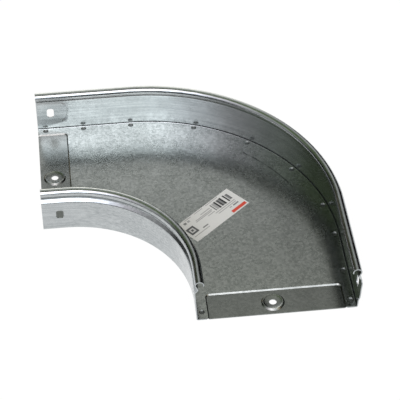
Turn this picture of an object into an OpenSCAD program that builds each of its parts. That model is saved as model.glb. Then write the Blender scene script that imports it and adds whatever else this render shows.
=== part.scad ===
/* [Tray] */
// Width across the outside of the two side walls, at the floor
tray_w = 150; // [110:5:220]
// Height from the underside to the top of the rolled edge
wall_h = 50; // [44:1:80]
// Thickness of the sheet
sheet_t = 1; // [0.7:0.1:1.2]
// Radius of the outside face of the inner side wall
inner_r = 113; // [90:1:160]
// Straight length of the inner side wall at each end
end_len = 22; // [21:1:50]
// Straight length of the outer side wall at each end
outer_len = 96; // [60:1:120]
// Outward lean of the side walls in degrees
wall_lean = 3.5; // [0:0.5:5]

/* [Side wall section] */
// Inside radius of the fold between wall and bottom flange
fold_r = 1; // [0.5:0.1:2]
// Width of bottom flange past the pressed joints
flange_lip = 1.5; // [1:0.1:3]
// Outside radius of the rolled edge
bead_r = 4.3; // [3.5:0.1:4.6]
// Distance from the outside face of the wall to the middle of the rolled edge
bead_in = 5.5; // [5.2:0.1:6.5]
// Angle below level at which the rolled edge stops
bead_stop = 25; // [0:5:60]
// Distance from the outside face of the wall to the bottom of the groove
groove_in = 3.1; // [2.5:0.1:3.5]
// Depth of the groove below the middle of the rolled edge
groove_drop = 5.7; // [5.5:0.1:6.5]
// Radius of the groove
groove_r = 1; // [0.8:0.1:1.2]
// Outside radius of the shoulder under the groove
shoulder_r = 3; // [2.4:0.1:3.2]
// Depth of the shoulder below the groove
shoulder_drop = 4.9; // [4.8:0.1:6]

/* [Side wall ends] */
// Distance from the tray end to the floor bolt hole and the outer wall's slot
bolt_in = 14.2; // [13:0.2:16]
// Distance from the tray end to the inner wall's slot
inner_bolt_in = 17; // [13:0.5:17]
// Length of the wall slot along the wall
slot_w = 7.2; // [6:0.1:9]
// Height of the wall slot
slot_h = 10.6; // [8:0.2:12]
// Corner radius of the wall slot
slot_r = 2.5; // [1:0.1:2.9]
// Height of the middle of the wall slot above the underside
slot_z = 20.5; // [18:0.5:22]
// Length of the pad pressed outward at each end of the outer wall
pad_len = 28.8; // [24:0.2:30]
// Height of the pad's lower edge above the underside
pad_foot = 12.4; // [10:0.2:14]
// Distance from the pad up to the shoulder
pad_gap = 4; // [4:0.1:5]
// Width of the slope round the pad
pad_step = 3.5; // [2:0.1:3.6]
// Corner radius of the pad
pad_r = 3; // [2:0.5:5]

/* [Floor] */
// Gap between the edge of the floor and the fold of each wall
floor_gap = 0.2; // [0.1:0.1:0.5]
// Length of the lowered field at each end of the floor
field_len = 29; // [26:0.5:29.5]
// Gap between each bottom flange and the slope of the lowered field
field_gap = 1; // [0.6:0.1:4]
// Corner radius of the lowered field
field_r = 3; // [2:0.5:6]
// Width of every sloped pressing step
step_w = 1.2; // [0.8:0.1:1.4]
// Diameter of the floor bolt hole
hole_d = 7; // [5:0.5:9]
// Distance of the bolt hole from the middle of the tray towards the inner wall
bolt_shift = 2.4; // [0:0.2:4]
// Diameter of the raised seat round the bolt hole
seat_d = 22; // [20:0.5:22.5]
// Height of the seat's ridge above the lowered field
seat_lift = 1.2; // [0.6:0.1:1.4]
// Width of the slope round the seat
seat_step = 1.6; // [1:0.1:1.8]
// Width of the flat top of the ridge
ridge_w = 0.6; // [0.3:0.1:1]
// Depth of the dish inside the ridge
dish_drop = 0.7; // [0.3:0.1:1]
// Width of the slope from the ridge into the dish
dish_step = 1.4; // [0.8:0.1:1.6]

/* [Pressed joints] */
// Diameter of the bottom of each pressed joint
joint_d = 3.8; // [3:0.2:4.2]
// Width of the slope round each pressed joint
joint_slope = 0.8; // [0.4:0.1:0.9]
// Gap between the edge of the floor and each pressed joint
joint_gap = 0.7; // [0.5:0.1:1.4]
// Distance from the tray end to the first joint
joint_end = 8; // [6:1:10]
// Distance from the tray end to the second joint of the outer wall
joint_mid = 47; // [40:1:55]
// Angle of the first joint on the bend of the outer wall
outer_first = 13; // [8:0.2:16]
// Angle between joints on the bend of the outer wall
outer_step = 18.8; // [16:0.1:20]
// Angle of the first joint on the bend of the inner wall
inner_first = 12; // [9:1:15]
// Angle between joints on the bend of the inner wall
inner_step = 22; // [20:1:24]

/* [Label] */
// Length of the paper label
label_len = 74.5; // [60:0.5:90]
// Width of the paper label
label_w = 30; // [20:1:40]
// Thickness of the paper label
label_t = 0.15; // [0.1:0.05:0.3]
// Angle of the label from the first end of the tray
label_angle = 41; // [0:1:90]
// Distance of the label middle from the arc centre of the inner wall
label_out = 182.75; // [175:0.25:184]
// Angle at which the label middle lies on the bend
label_turn = 38.5; // [30:0.5:60]

/* [Hidden] */
// Distance from each tray end to the outside face of the far outer wall
leg = end_len + inner_r + tray_w;
outer_r = leg - outer_len;
// Faces counted from the outside of a wall towards the inside of the tray
floor_edge = sheet_t + fold_r + floor_gap;
web_bottom = sheet_t + fold_r;
fold_c = [web_bottom, web_bottom];
// Middles of the curls of the wall section, before it leans
bead_up = wall_h - bead_r - web_bottom - (bead_in - web_bottom) * sin(wall_lean);
bead_c = [bead_in, web_bottom + bead_up / cos(wall_lean)];
groove_c = [groove_in - groove_r, bead_c[1] - groove_drop];
shoulder_c = [shoulder_r, groove_c[1] - shoulder_drop];
// Headings of the two straight runs that touch the curls
rise = bead_c - groove_c;
tuck = groove_c - shoulder_c;
rise_a = atan2(rise[1], rise[0]) + asin((bead_r + groove_r) / norm(rise));
tuck_a = atan2(tuck[1], tuck[0]) - asin((shoulder_r + groove_r) / norm(tuck));
quarter = 90;
half_turn = 180;
curl_step = 14;
joint_lift = 0.2;
joint_top = joint_d + 2 * joint_slope / (1 - joint_lift);
joint_cup = joint_d + 2 * joint_slope;
joint_fit = 0.2;
joint_count = 4;
pad_deep = 1.5;
reach = 2 * sheet_t;
joint_in = floor_edge + joint_gap + joint_cup / 2;
flange_w = joint_in + joint_cup / 2 + flange_lip;
field_in = flange_w + field_gap + step_w;
field_w = tray_w - 2 * field_in;
pad_h = shoulder_c[1] - pad_gap - pad_foot;
pad_z = pad_foot + pad_h / 2;
// How far the leaning wall stands out past its foot at the shoulder and at the top of the pads
shoulder_out = shoulder_r - leaned(shoulder_c)[0];
pad_top = pad_foot + pad_h - web_bottom;
pad_out = (web_bottom + sheet_t) * cos(wall_lean) + pad_top * sin(wall_lean) - web_bottom;
box_half = (leg + max(shoulder_out, pad_out)) / 2;
mid_line = leg - tray_w / 2;
bolt_line = mid_line - bolt_shift;
seat_rim = 1;
label_c = [end_len + label_out * cos(label_turn), end_len + label_out * sin(label_turn)];
steel = "#b6babc";
steel_light = "#c4c8ca";
paper = "#f2f1ec";
$fn = 96;

// Which sub-part to draw

// Points along an arc about a middle
function arc(c, r, from, to) =
    let (n = ceil(abs(to - from) / curl_step))
    [for (k = [0 : n]) c + r * [cos(from + k * (to - from) / n), sin(from + k * (to - from) / n)]];

// Point of the section turned outward about the fold
function leaned(p) =
    let (d = p - fold_c)
    fold_c + [d[0] * cos(wall_lean) - d[1] * sin(wall_lean), d[0] * sin(wall_lean) + d[1] * cos(wall_lean)];

// Curl of the leaning wall, given as if it stood upright
function curl(c, r, from, to) = arc(leaned(c), r, from + wall_lean, to + wall_lean);

// One face of the sheet from flange to rolled edge, in = 0 outside and 1 inside
function face(in) = concat(
    [[flange_w, in * sheet_t]],
    arc(fold_c, web_bottom - in * sheet_t, half_turn + quarter, half_turn + wall_lean),
    curl(shoulder_c, shoulder_r - in * sheet_t, half_turn, tuck_a + quarter),
    curl(groove_c, groove_r + in * sheet_t, tuck_a - quarter, rise_a - quarter),
    curl(bead_c, bead_r - in * sheet_t, rise_a + quarter, -bead_stop));

// Section of a side wall, outside face on the left, standing on its flange
module wall_section() {
    inside = face(1);
    last = len(inside) - 1;
    polygon(concat(face(0), [for (k = [0 : last]) inside[last - k]]));
}

// Section carried along both straights and the bend
module sweep(centre, r, length) {
    translate([centre, centre, 0]) rotate_extrude(angle = quarter) translate([r, 0]) children();
    both_ends() translate([centre + r, length, 0]) rotate([quarter, 0, 0])
        linear_extrude(height = length) children();
}

// Pressed form, open at the tray end, its slope this wide for each sheet of height
module press_form(length, width, r, slope = step_w, high = sheet_t) {
    half_w = width / 2;
    side = half_w - r;
    wider = slope * high / sheet_t;
    rotate([quarter, 0, quarter]) linear_extrude(height = length - r)
        polygon([[-half_w, 0], [half_w, 0], [half_w + wider, high], [-half_w - wider, high]]);
    translate([0, side, 0]) rotate([quarter, 0, 0]) linear_extrude(height = 2 * side)
        polygon([[0, 0], [length, 0], [length + wider, high], [0, high]]);
    for (y = [-side, side]) translate([length - r, y, 0]) cylinder(h = high, r1 = r, r2 = r + wider);
}

// Sheet of the raised seat, from the bolt hole up over the ridge and out to a flat rim
module seat() {
    foot = seat_d / 2;
    ridge = foot - seat_step;
    rise_line = [[hole_d / 2, seat_lift - dish_drop], [ridge - ridge_w - dish_step, seat_lift - dish_drop],
        [ridge - ridge_w, seat_lift], [ridge, seat_lift], [foot, 0], [foot + seat_rim, 0]];
    last = len(rise_line) - 1;
    rotate_extrude() polygon(concat(
        rise_line, [for (k = [0 : last]) rise_line[last - k] + [0, sheet_t]]));
}

// Turns what is drawn on an upright wall outward about its fold, which lies at y
module lean_wall(y, side) {
    translate([0, y, web_bottom]) rotate([side * wall_lean, 0, 0]) translate([0, -y, -web_bottom]) children();
}

// Rounded slot through a wall, along the wall and up
module slot() {
    for (x = [-1, 1], z = [-1, 1])
        translate([x * (slot_w / 2 - slot_r), 0, z * (slot_h / 2 - slot_r)])
            rotate([quarter, 0, 0]) cylinder(h = 3 * reach, r = slot_r, center = true);
    cube([slot_w, 3 * reach, slot_h - 2 * slot_r], center = true);
    cube([slot_w - 2 * slot_r, 3 * reach, slot_h], center = true);
}

// The same thing at both ends, drawn for the end that lies along x
module both_ends() {
    children();
    mirror([1, -1, 0]) children();
}

module outer_joints() {
    both_ends() {
        for (x = [joint_end, joint_mid, outer_len]) translate([x, leg - joint_in, 0]) children();
    }
    for (k = [0 : joint_count - 1]) translate([outer_len, outer_len, 0])
        rotate(outer_first + k * outer_step) translate([outer_r - joint_in, 0, 0]) children();
}

module inner_joints() {
    both_ends() translate([joint_end, end_len + inner_r + joint_in, 0]) children();
    for (k = [0 : joint_count - 1]) translate([end_len, end_len, 0])
        rotate(inner_first + k * inner_step) translate([inner_r + joint_in, 0, 0]) children();
}

// Cup pressed down from the floor into the flange
module joint_outside() {
    translate([0, 0, joint_lift * sheet_t]) cylinder(h = sheet_t, d = joint_cup);
}

module joint_inside() {
    translate([0, 0, (1 + joint_lift) * sheet_t]) cylinder(h = sheet_t, d1 = joint_d, d2 = joint_top);
}

module joint_hole() {
    cylinder(h = 2 * reach, d = joint_cup + joint_fit, center = true);
}

// Outline of the floor between the two walls
module floor_outline() {
    edge_in = end_len + inner_r + floor_edge;
    edge_out = leg - floor_edge;
    difference() {
        union() {
            square([outer_len, edge_out]);
            square([edge_out, outer_len]);
            translate([outer_len, outer_len]) intersection() {
                circle(r = edge_out - outer_len);
                square(edge_out);
            }
        }
        square([end_len, edge_in]);
        square([edge_in, end_len]);
        translate([end_len, end_len]) intersection() {
            circle(r = edge_in - end_len);
            square(edge_in);
        }
    }
}

module floor_plate() {
    color(steel) difference() {
        union() {
            difference() {
                union() {
                    translate([0, 0, sheet_t]) linear_extrude(height = sheet_t) floor_outline();
                    both_ends() translate([0, mid_line, 0]) press_form(field_len, field_w, field_r);
                }
                both_ends() translate([0, mid_line, sheet_t]) press_form(field_len, field_w, field_r);
                both_ends() translate([bolt_in, bolt_line, 0])
                    cylinder(h = 2 * reach, d = seat_d + seat_rim, center = true);
            }
            both_ends() translate([bolt_in, bolt_line, 0]) seat();
            outer_joints() joint_outside();
            inner_joints() joint_outside();
        }
        outer_joints() joint_inside();
        inner_joints() joint_inside();
    }
}

// Form of the pads that are pressed outward, its flat face that many sheets past the outer wall
module pad(away) {
    both_ends() lean_wall(leg - web_bottom, -1) translate([0, leg + away * sheet_t, pad_z])
        rotate([quarter, 0, 0]) press_form(pad_len, pad_h, pad_r, pad_step, pad_deep * sheet_t);
}

module outer_wall() {
    color(steel_light) difference() {
        union() {
            sweep(outer_len, outer_r, outer_len) mirror([1, 0]) wall_section();
            pad(1);
        }
        pad(0);
        both_ends() lean_wall(leg - web_bottom, -1) translate([bolt_in, leg, slot_z]) slot();
        outer_joints() joint_hole();
    }
}

module inner_wall() {
    color(steel_light) difference() {
        sweep(end_len, inner_r, end_len) wall_section();
        both_ends() lean_wall(end_len + inner_r + web_bottom, 1)
            translate([inner_bolt_in, end_len + inner_r, slot_z]) slot();
        inner_joints() joint_hole();
    }
}

module label() {
    color(paper) translate([label_c[0], label_c[1], 2 * sheet_t]) rotate(label_angle)
        translate([-label_len / 2, -label_w / 2, 0]) cube([label_len, label_w, label_t]);
}

translate([-box_half, -box_half, 0]) {
    floor_plate();
    outer_wall();
    inner_wall();
    label();
}
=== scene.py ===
import math

import bpy
import numpy as np
from mathutils import Matrix, Vector


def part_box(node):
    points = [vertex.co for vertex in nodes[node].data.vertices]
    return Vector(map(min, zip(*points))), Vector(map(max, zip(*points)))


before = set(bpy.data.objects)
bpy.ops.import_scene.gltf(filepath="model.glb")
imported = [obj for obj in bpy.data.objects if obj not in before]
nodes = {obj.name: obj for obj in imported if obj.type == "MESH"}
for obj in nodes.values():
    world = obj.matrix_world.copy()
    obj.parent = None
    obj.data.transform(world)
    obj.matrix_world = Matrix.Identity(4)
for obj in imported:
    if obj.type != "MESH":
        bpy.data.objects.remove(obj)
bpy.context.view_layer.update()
print("frame loaded:", ", ".join(sorted(nodes)))


# sRGB hex to linear: the power curve of the standard, straight near black
def toLinear(hexText):
    s = np.array([int(hexText[k:k + 2], 16) / 255 for k in (1, 3, 5)])
    rgb = np.where(s <= 0.04045, s / 12.92, ((s + 0.055) / 1.055) ** 2.4)
    return (*rgb.tolist(), 1.0)


# adds a node with its settings; an input is a value or the socket that feeds it
def addNode(tree, kind, inputs=None, **settings):
    node = tree.nodes.new(kind)
    for key, value in settings.items():
        setattr(node, key, value)
    for key, value in (inputs or {}).items():
        if isinstance(value, bpy.types.NodeSocket):
            tree.links.new(value, node.inputs[key])
        else:
            node.inputs[key].default_value = value
    return node


def newMaterial(name):
    made = bpy.data.materials.new(name)
    made.use_nodes = True
    made.node_tree.nodes.clear()
    return made, made.node_tree


# Hot-dip galvanised sheet, roll formed: a bright zinc skin whose crystals, a few
# millimetres wide, are each a little lighter or duller, over a fine orange peel,
# with faint lines where the rollers drew it, which run along the bend. The real
# peel and lines are under a millimetre, and are drawn coarser here so that they show.
bend = {"outer": (189.0, 96.0), "inner": (113.0, 22.0)}  # each wall's radius and straight legs in mm
floorZinc = {
    "name": "galvanisedFloorSheet",
    "dull": "#868b88", "bright": "#b2b6b3",
    "crystalMm": 2.0, "crystalShare": 0.7,
    "cloudMm": 24.0, "cloudShare": 0.6,
    "lineMm": 2.5, "lineLongMm": 90.0, "lineShare": 0.25,
    "rough": 0.25, "roughSpread": 0.04, "crystalRough": 0.05,
    "grainMm": 2.0, "grainDeepMm": 0.02,
    "waveMm": 70.0, "waveDeepMm": 0.15,
}
wallZinc = {
    "name": "galvanisedWallSheet",
    "dull": "#919698", "bright": "#ccd0d1",
    "crystalMm": 2.2, "crystalShare": 0.14,
    "cloudMm": 20.0, "cloudShare": 0.3,
    "lineMm": 1.7, "lineLongMm": 110.0, "lineShare": 1.1,
    "rough": 0.23, "roughSpread": 0.04, "crystalRough": 0.02,
    "grainMm": 3.0, "grainDeepMm": 0.01,
    "waveMm": 60.0, "waveDeepMm": 0.1,
}
# how much fine detail each pattern's noise has, and between which of the clouds'
# values the roughness goes from dull to smooth
zincNoise = {
    "cloudDetail": 4.0, "cloudRough": 0.6, "lineDetail": 3.0,
    "grainDetail": 2.0, "waveDetail": 1.0, "roughFrom": 0.3, "roughTo": 0.7,
}
# what forming the floor left on it, with painted shade in its joint cups and along its crease
floorMarks = {
    # the sheet rises a little between these distances from the outer wall
    "swellFromMm": 36.0, "swellToMm": 62.0, "swellHighMm": 0.42,
    # and is a little higher in the middle of the bend than at this distance from it
    "crownMm": 140.0, "crownHighMm": 3.0,
    # what lies under this height is a pressed joint where it is in the strip along a wall, with a rougher
    # bottom and painted shade darkening its colour, and elsewhere a lowered field, which the press left
    # darker
    "sheetTopMm": 1.93, "cupStripMm": 10.3, "cupShade": "#6f7371", "cupRough": 0.5,
    "field": "#727573", "fieldShare": 0.6,
    # crease where the sheet was stretched round the bend, drawn as a thin line of painted shade, broken along
    # its length
    "creaseInMm": 20.5, "creaseWideMm": 0.9, "creaseFromMm": (110.0, 72.0),
    "creaseBreakMm": 11.0, "creaseGate": (0.33, 0.43), "creaseShade": "#2f3232",
}


# distance of a point from a wall's foot, in metres: radius less the length of
# (x - arc middle, y - arc middle), each taken as 0 along the straight legs
def fromWall(tree, place, wall):
    radius, leg = (mm / 1000 for mm in bend[wall])
    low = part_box("floor_plate")[0]
    middle = (low.x + leg, low.y + leg, 0)
    off = addNode(tree, "ShaderNodeVectorMath", {0: place, 1: middle}, operation="SUBTRACT").outputs[0]
    ahead = addNode(tree, "ShaderNodeVectorMath", {0: off, 1: (0, 0, 0)}, operation="MAXIMUM").outputs[0]
    level = addNode(tree, "ShaderNodeVectorMath", {0: ahead, 1: (1, 1, 0)}, operation="MULTIPLY").outputs[0]
    reach = addNode(tree, "ShaderNodeVectorMath", {0: level}, operation="LENGTH").outputs["Value"]
    gap = addNode(tree, "ShaderNodeMath", {0: radius, 1: reach}, operation="SUBTRACT").outputs[0]
    return addNode(tree, "ShaderNodeMath", {0: gap}, operation="ABSOLUTE").outputs[0]


# lines: noise of (distance from the wall, height), drawn long along x - y, the way round the bend
def drawnLines(tree, look, axes, outward):
    fine, slow = 1000 / look["lineMm"], 1000 / look["lineLongMm"]
    along = addNode(tree, "ShaderNodeMath", {0: axes["X"], 1: axes["Y"]}, operation="SUBTRACT").outputs[0]
    spread = addNode(tree, "ShaderNodeCombineXYZ", {0: outward, 1: axes["Z"], 2: along}).outputs[0]
    drawn = addNode(tree, "ShaderNodeVectorMath", {0: spread, 1: (fine, fine, slow)},
                    operation="MULTIPLY").outputs[0]
    return addNode(tree, "ShaderNodeTexNoise",
                   {"Vector": drawn, "Scale": 1.0, "Detail": zincNoise["lineDetail"]}).outputs[0]


# colour and roughness with the cups' rough bottoms and their painted shade, the darker end fields and the
# crease's painted shade laid over them
def addFloorMarks(tree, marks, place, axes, outward, colour, rough):
    inward = fromWall(tree, place, "inner")
    nearest = addNode(tree, "ShaderNodeMath", {0: outward, 1: inward}, operation="MINIMUM").outputs[0]
    strip = addNode(tree, "ShaderNodeMath", {0: nearest, 1: marks["cupStripMm"] / 1000},
                    operation="LESS_THAN").outputs[0]
    lower = addNode(tree, "ShaderNodeMath", {0: axes["Z"], 1: marks["sheetTopMm"] / 1000},
                    operation="LESS_THAN").outputs[0]
    inCup = addNode(tree, "ShaderNodeMath", {0: strip, 1: lower}, operation="MULTIPLY").outputs[0]
    # painted shade: the joint cups' bottoms are darkened the way a recess in shade would look
    colour = addNode(tree, "ShaderNodeMix", {"Factor": inCup, 6: colour, 7: toLinear(marks["cupShade"])},
                     data_type="RGBA").outputs[2]
    rough = addNode(tree, "ShaderNodeMix", {"Factor": inCup, 2: rough, 3: marks["cupRough"]}).outputs[0]
    inField = addNode(tree, "ShaderNodeMath", {0: lower, 1: inCup}, operation="SUBTRACT").outputs[0]
    share = addNode(tree, "ShaderNodeMath", {0: inField, 1: marks["fieldShare"]},
                    operation="MULTIPLY").outputs[0]
    colour = addNode(tree, "ShaderNodeMix", {"Factor": share, 6: colour, 7: toLinear(marks["field"])},
                     data_type="RGBA").outputs[2]
    onCrease = addNode(tree, "ShaderNodeMath",
                       {0: outward, 1: marks["creaseInMm"] / 1000, 2: marks["creaseWideMm"] / 2000},
                       operation="COMPARE").outputs[0]
    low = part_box("floor_plate")[0]
    for axis, corner, ahead in zip("XY", low, marks["creaseFromMm"]):
        start = corner + (bend["outer"][1] + ahead) / 1000
        past = addNode(tree, "ShaderNodeMath", {0: axes[axis], 1: start}, operation="GREATER_THAN").outputs[0]
        onCrease = addNode(tree, "ShaderNodeMath", {0: onCrease, 1: past}, operation="MULTIPLY").outputs[0]
    broken = addNode(tree, "ShaderNodeTexNoise",
                     {"Vector": place, "Scale": 1000 / marks["creaseBreakMm"]}).outputs[0]
    gateFrom, gateTo = marks["creaseGate"]
    shown = addNode(tree, "ShaderNodeMapRange",
                    {"Value": broken, "From Min": gateFrom, "From Max": gateTo}).outputs[0]
    share = addNode(tree, "ShaderNodeMath", {0: onCrease, 1: shown}, operation="MULTIPLY").outputs[0]
    # painted shade: the crease is drawn as a dark broken line where it would lie in shade
    colour = addNode(tree, "ShaderNodeMix", {"Factor": share, 6: colour, 7: toLinear(marks["creaseShade"])},
                     data_type="RGBA").outputs[2]
    return colour, rough


# height in mm with the swell along the outer wall and the crown of the sheet added:
# crown = -high * (x * x + y * y) / (reach * reach)
def addFloorRise(tree, marks, place, outward, height):
    swell = addNode(tree, "ShaderNodeMapRange",
                    {"Value": outward, "From Min": marks["swellFromMm"] / 1000,
                     "From Max": marks["swellToMm"] / 1000, "To Max": marks["swellHighMm"]},
                    interpolation_type="SMOOTHSTEP").outputs[0]
    level = addNode(tree, "ShaderNodeVectorMath", {0: place, 1: (1, 1, 0)}, operation="MULTIPLY").outputs[0]
    square = addNode(tree, "ShaderNodeVectorMath", {0: level, 1: level},
                     operation="DOT_PRODUCT").outputs["Value"]
    crown = -marks["crownHighMm"] / (marks["crownMm"] / 1000) ** 2
    height = addNode(tree, "ShaderNodeMath", {0: height, 1: swell}, operation="ADD").outputs[0]
    return addNode(tree, "ShaderNodeMath", {0: square, 1: crown, 2: height},
                   operation="MULTIPLY_ADD").outputs[0]


def zincSheet(look, marks=None):
    made, tree = newMaterial(look["name"])
    place = addNode(tree, "ShaderNodeTexCoord").outputs["Object"]
    axes = addNode(tree, "ShaderNodeSeparateXYZ", {0: place}).outputs
    outward = fromWall(tree, place, "outer")
    crystal = addNode(tree, "ShaderNodeTexVoronoi", {"Vector": place, "Scale": 1000 / look["crystalMm"]})
    shades = addNode(tree, "ShaderNodeSeparateColor", {"Color": crystal.outputs["Color"]}).outputs
    cloud = addNode(tree, "ShaderNodeTexNoise",
                    {"Vector": place, "Scale": 1000 / look["cloudMm"], "Detail": zincNoise["cloudDetail"],
                     "Roughness": zincNoise["cloudRough"]}).outputs[0]
    line = drawnLines(tree, look, axes, outward)
    # light = half + share * (pattern - half), summed over crystals, clouds and lines
    total = 0.5
    for pattern, share in ((shades["Red"], "crystalShare"), (cloud, "cloudShare"), (line, "lineShare")):
        change = addNode(tree, "ShaderNodeMath", {0: pattern, 1: 0.5}, operation="SUBTRACT").outputs[0]
        total = addNode(tree, "ShaderNodeMath", {0: change, 1: look[share], 2: total},
                        operation="MULTIPLY_ADD").outputs[0]
    colour = addNode(tree, "ShaderNodeMix",
                     {"Factor": total, 6: toLinear(look["dull"]), 7: toLinear(look["bright"])},
                     data_type="RGBA").outputs[2]
    # roughness = rough, less where the cloud is light, more or less by each crystal
    rough = addNode(tree, "ShaderNodeMapRange",
                    {"Value": cloud, "From Min": zincNoise["roughFrom"], "From Max": zincNoise["roughTo"],
                     "To Min": look["rough"] + look["roughSpread"],
                     "To Max": look["rough"] - look["roughSpread"]}).outputs[0]
    change = addNode(tree, "ShaderNodeMath", {0: shades["Green"], 1: 0.5}, operation="SUBTRACT").outputs[0]
    rough = addNode(tree, "ShaderNodeMath", {0: change, 1: look["crystalRough"], 2: rough},
                    operation="MULTIPLY_ADD").outputs[0]
    # height in mm = grain of the zinc + waves of the sheet + the floor's own rise
    grain = addNode(tree, "ShaderNodeTexNoise",
                    {"Vector": place, "Scale": 1000 / look["grainMm"],
                     "Detail": zincNoise["grainDetail"]}).outputs[0]
    wave = addNode(tree, "ShaderNodeTexNoise",
                   {"Vector": place, "Scale": 1000 / look["waveMm"],
                    "Detail": zincNoise["waveDetail"]}).outputs[0]
    height = addNode(tree, "ShaderNodeMath", {0: grain, 1: look["grainDeepMm"]},
                     operation="MULTIPLY").outputs[0]
    height = addNode(tree, "ShaderNodeMath", {0: wave, 1: look["waveDeepMm"], 2: height},
                     operation="MULTIPLY_ADD").outputs[0]
    if marks:
        colour, rough = addFloorMarks(tree, marks, place, axes, outward, colour, rough)
        height = addFloorRise(tree, marks, place, outward, height)
    # a bump distance of a millimetre makes the heights millimetres
    bump = addNode(tree, "ShaderNodeBump", {"Height": height, "Strength": 1.0, "Distance": 0.001}).outputs[0]
    shader = addNode(tree, "ShaderNodeBsdfPrincipled",
                     {"Base Color": colour, "Metallic": 1.0, "Roughness": rough, "Normal": bump})
    addNode(tree, "ShaderNodeOutputMaterial", {"Surface": shader.outputs[0]})
    return made


# Paper label: coated white paper, printed, which gives an even, nearly matt face.
# The print is plain bars, squares and strokes, with sizes in mm from its middle;
# the finest strokes are drawn a millimetre wide so that they show.
paperLabel = {
    "name": "printedPaper",
    "turnDeg": 41.0,
    "paper": "#d9dad6", "rough": 0.55,
    "inks": {"red": "#cf4a38", "black": "#1e2021", "dark": "#585a5a", "bold": "#7f8180",
             "fine": "#a5a6a4", "pale": "#c6c7c4"},
    # each print: ink, then middle along and across, length and width
    "prints": [
        ("red", (26.0, -11.8, 19.5, 3.6)),
        ("dark", (-29.3, -0.8, 9.8, 9.8)), ("pale", (-29.3, -0.8, 5.6, 5.6)),
        ("dark", (-29.3, -0.8, 2.6, 2.6)),
        ("bold", (-16.0, -5.8, 7.0, 1.5)), ("fine", (-23.8, -8.8, 21.5, 0.9)),
        ("bold", (27.5, -6.0, 7.5, 1.6)), ("fine", (20.4, -6.0, 3.0, 1.2)),
        ("bold", (-27.6, 10.6, 3.2, 2.8)), ("fine", (-22.8, 10.6, 3.2, 2.4)),
        ("fine", (-1.5, 8.4, 13.0, 1.1)), ("fine", (-6.2, 5.8, 23.0, 1.0)),
        ("fine", (-7.3, 4.2, 22.5, 1.0)), ("fine", (0.6, 1.7, 9.5, 1.0)),
        ("fine", (17.5, -1.1, 27.5, 1.0)), ("fine", (18.0, -3.5, 25.0, 1.0)),
        ("fine", (-21.0, 13.6, 9.0, 0.9)), ("fine", (-6.0, 13.6, 12.0, 0.9)),
        ("fine", (13.0, 13.6, 17.0, 0.9)), ("fine", (12.2, 5.9, 5.5, 9.6)),
        ("bold", (19.2, 5.9, 6.6, 10.0)), ("bold", (29.8, 5.9, 3.4, 8.6)),
        ("dark", (7.9, 5.9, 1.2, 10.0)), ("black", (13.8, 5.9, 1.9, 10.6)), ("black", (17.6, 5.9, 1.2, 10.0)),
        ("black", (21.5, 5.9, 2.0, 10.6)), ("black", (26.3, 5.9, 1.8, 10.6)), ("dark", (30.6, 5.9, 1.2, 8.6)),
    ],
}


def labelPrint(look):
    made, tree = newMaterial(look["name"])
    place = addNode(tree, "ShaderNodeTexCoord").outputs["Object"]
    turn = math.radians(look["turnDeg"])
    low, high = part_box("label")
    mid = (low + high) / 2
    moved = addNode(tree, "ShaderNodeVectorMath", {0: place, 1: mid}, operation="SUBTRACT").outputs[0]
    local = addNode(tree, "ShaderNodeVectorRotate", {"Vector": moved, "Angle": -turn}, rotation_type="Z_AXIS")
    axes = addNode(tree, "ShaderNodeSeparateXYZ", {0: local.outputs[0]})
    colour = toLinear(look["paper"])
    # inside a bar where |x - middle| is under half its length and |y - middle| under half its width
    for ink, (x, y, length, width) in look["prints"]:
        inside = []
        for axis, middle, size in (("X", x, length), ("Y", y, width)):
            inside.append(addNode(tree, "ShaderNodeMath",
                                  {0: axes.outputs[axis], 1: middle / 1000, 2: size / 2000},
                                  operation="COMPARE").outputs[0])
        both = addNode(tree, "ShaderNodeMath", {0: inside[0], 1: inside[1]}, operation="MULTIPLY").outputs[0]
        colour = addNode(tree, "ShaderNodeMix", {"Factor": both, 6: colour, 7: toLinear(look["inks"][ink])},
                         data_type="RGBA").outputs[2]
    shader = addNode(tree, "ShaderNodeBsdfPrincipled", {"Base Color": colour, "Roughness": look["rough"]})
    addNode(tree, "ShaderNodeOutputMaterial", {"Surface": shader.outputs[0]})
    return made


# every node keeps its mesh; the sheets' soft folds are shaded smooth and their cut edges sharp
finishes = {"floor_plate": zincSheet(floorZinc, floorMarks), "label": labelPrint(paperLabel)}
finishes["outer_wall"] = finishes["inner_wall"] = zincSheet(wallZinc)
sheetEdges = {"weldMm": 0.002, "sharpDeg": 28.0}
for name, piece in nodes.items():
    piece.data.materials.clear()
    piece.data.materials.append(finishes[name])
    if name == "label":
        continue
    piece.data.shade_smooth()
    weld = piece.modifiers.new("weld", "WELD")
    weld.merge_threshold = sheetEdges["weldMm"] / 1000
    sharp = piece.modifiers.new("sharpEdges", "EDGE_SPLIT")
    sharp.split_angle = math.radians(sheetEdges["sharpDeg"])
    sharp.use_edge_sharp = False
    flat = piece.modifiers.new("flatFaces", "WEIGHTED_NORMAL")
    flat.keep_sharp = True
print("finishes set")

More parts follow.
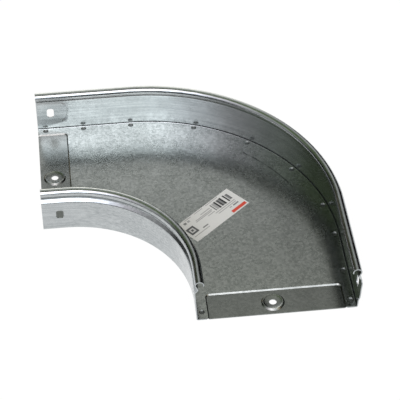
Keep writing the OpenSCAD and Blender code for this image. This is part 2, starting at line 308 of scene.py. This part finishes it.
# Studio: a matt pale board for the floor, soft lights over the camera and weaker
# ones behind, with no hard edge, which give broad, soft highlights on the zinc
studio = {
    "floorHex": "#d9d9d7", "floorSize": 6.0, "below": 0.0004,
    # share of plain white in what the camera sees of the floor, which leaves the
    # shadow in the rest of it, and in what a glossy surface shows of it
    "cameraWhite": 0.9, "glossyWhite": 1.0, "whiteLevel": 1.06,
    # each soft light: turns from the front, rises, half angle in degrees, colour level
    "lights": {
        "key": ((0,), (34,), 24, (2.5, 2.6, 2.7)),
        "keySides": ((335, 25), (34,), 24, (1.8, 1.9, 2.1)),
        "keyTop": ((335, 0), (54,), 24, (2.1, 1.95, 2.0)),
        "rightEdge": ((50,), (34,), 24, (0.8, 0.6, 0.3)),
        "rightTop": ((50,), (54,), 24, (0.6, 0.6, 0.6)),
        "leftEdge": ((310,), (34, 54), 24, (0.4, 0.35, 0.4)),
        "leftSide": ((288,), (32,), 38, (0.5, 0.5, 0.5)),
        "backStrip": ((180,), (5,), 24, (1.8, 1.7, 1.4)),
        "backSide": ((205,), (5,), 24, (0.4, 0.35, 0.25)),
        "overLeft": ((240,), (60,), 38, (0.15, 0.2, 0.1)),
        "back": ((180,), (25,), 24, (1.05, 1.05, 1.05)),
        "backTop": ((180,), (45,), 24, (0.2, 0.2, 0.2)),
        "overBack": ((155,), (65,), 24, (0.65, 0.65, 0.6)),
    },
}


def studioWorld(look):
    world = bpy.data.worlds.new("softStudio")
    world.use_nodes = True
    tree = world.node_tree
    tree.nodes.clear()
    heading = addNode(tree, "ShaderNodeTexCoord").outputs["Generated"]
    level = (0.0, 0.0, 0.0)
    # sum over the lights of colour * smooth step of the cosine between heading and light
    spots = [(turn, rise, *rest) for turns, rises, *rest in look["lights"].values()
             for turn in turns for rise in rises]
    for turnDeg, riseDeg, halfDeg, colour in spots:
        turn, rise = math.radians(turnDeg), math.radians(riseDeg)
        aim = (math.sin(turn) * math.cos(rise), -math.cos(turn) * math.cos(rise), math.sin(rise))
        towards = addNode(tree, "ShaderNodeVectorMath", {0: heading, 1: aim},
                          operation="DOT_PRODUCT").outputs["Value"]
        spot = addNode(tree, "ShaderNodeMapRange",
                       {"Value": towards, "From Min": math.cos(math.radians(halfDeg)), "From Max": 1.0},
                       interpolation_type="SMOOTHSTEP").outputs[0]
        level = addNode(tree, "ShaderNodeVectorMath", {0: spot, 1: colour, 2: level},
                        operation="MULTIPLY_ADD").outputs[0]
    white = addNode(tree, "ShaderNodeBackground", {"Color": (1, 1, 1, 1)}).outputs[0]
    light = addNode(tree, "ShaderNodeBackground", {"Color": level}).outputs[0]
    camera = addNode(tree, "ShaderNodeLightPath").outputs["Is Camera Ray"]
    mixed = addNode(tree, "ShaderNodeMixShader", {0: camera, 1: light, 2: white}).outputs[0]
    addNode(tree, "ShaderNodeOutputWorld", {"Surface": mixed})
    bpy.context.scene.world = world


# the floor is one square of the board, just under the object
def studioFloor(look):
    made, tree = newMaterial("paleFloor")
    lit = addNode(tree, "ShaderNodeBsdfDiffuse", {"Color": toLinear(look["floorHex"])}).outputs[0]
    white = addNode(tree, "ShaderNodeEmission",
                    {"Color": (1, 1, 1, 1), "Strength": look["whiteLevel"]}).outputs[0]
    rays = addNode(tree, "ShaderNodeLightPath").outputs
    glossy = addNode(tree, "ShaderNodeMath", {0: rays["Is Glossy Ray"], 1: look["glossyWhite"]},
                     operation="MULTIPLY").outputs[0]
    share = addNode(tree, "ShaderNodeMath", {0: rays["Is Camera Ray"], 1: look["cameraWhite"], 2: glossy},
                    operation="MULTIPLY_ADD").outputs[0]
    mixed = addNode(tree, "ShaderNodeMixShader", {0: share, 1: lit, 2: white}).outputs[0]
    addNode(tree, "ShaderNodeOutputMaterial", {"Surface": mixed})
    half = look["floorSize"] / 2
    square = ((-half, -half), (half, -half), (half, half), (-half, half))
    corners = [(x, y, -look["below"]) for x, y in square]
    mesh = bpy.data.meshes.new("studioFloor")
    mesh.from_pydata(corners, [], [(0, 1, 2, 3)])
    mesh.materials.append(made)
    ground = bpy.data.objects.new("studioFloor", mesh)
    bpy.context.scene.collection.objects.link(ground)


studioWorld(studio)
studioFloor(studio)
print("studio set")

# Camera at the photograph's angle
cameraPlace = {
    "turnDeg": -5.92, "riseDeg": 43.2, "rollDeg": -0.4,
    "lensMm": 148.0, "sensorMm": 36.0, "clip": (0.05, 20.0),
    "aim": (0.1555, 0.1603, 0.0),  # from the corner where the two tray ends' planes meet
    "distance": 1.6275,
}


# the camera looks back along (turn, rise) from the point it aims at, rolled by a small angle
def addCamera(look):
    turn, rise, roll = (math.radians(look[k]) for k in ("turnDeg", "riseDeg", "rollDeg"))
    back = Vector((math.sin(turn) * math.cos(rise), -math.cos(turn) * math.cos(rise), math.sin(rise)))
    right = (-back).cross(Vector((0, 0, 1))).normalized()
    up = right.cross(-back)
    rolledRight = right * math.cos(roll) + up * math.sin(roll)
    rolledUp = up * math.cos(roll) - right * math.sin(roll)
    view = bpy.data.cameras.new("photoView")
    view.sensor_width = look["sensorMm"]
    view.lens = look["lensMm"]
    view.clip_start, view.clip_end = look["clip"]
    seen = bpy.data.objects.new("photoView", view)
    bpy.context.scene.collection.objects.link(seen)
    axes = Matrix((rolledRight, rolledUp, back)).transposed()
    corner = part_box("floor_plate")[0]
    corner.z = 0
    place = corner + Vector(look["aim"]) + back * look["distance"]
    seen.matrix_world = Matrix.Translation(place) @ axes.to_4x4()
    bpy.context.scene.camera = seen


addCamera(cameraPlace)
bpy.context.scene.view_settings.view_transform = "Standard"
print("camera set")
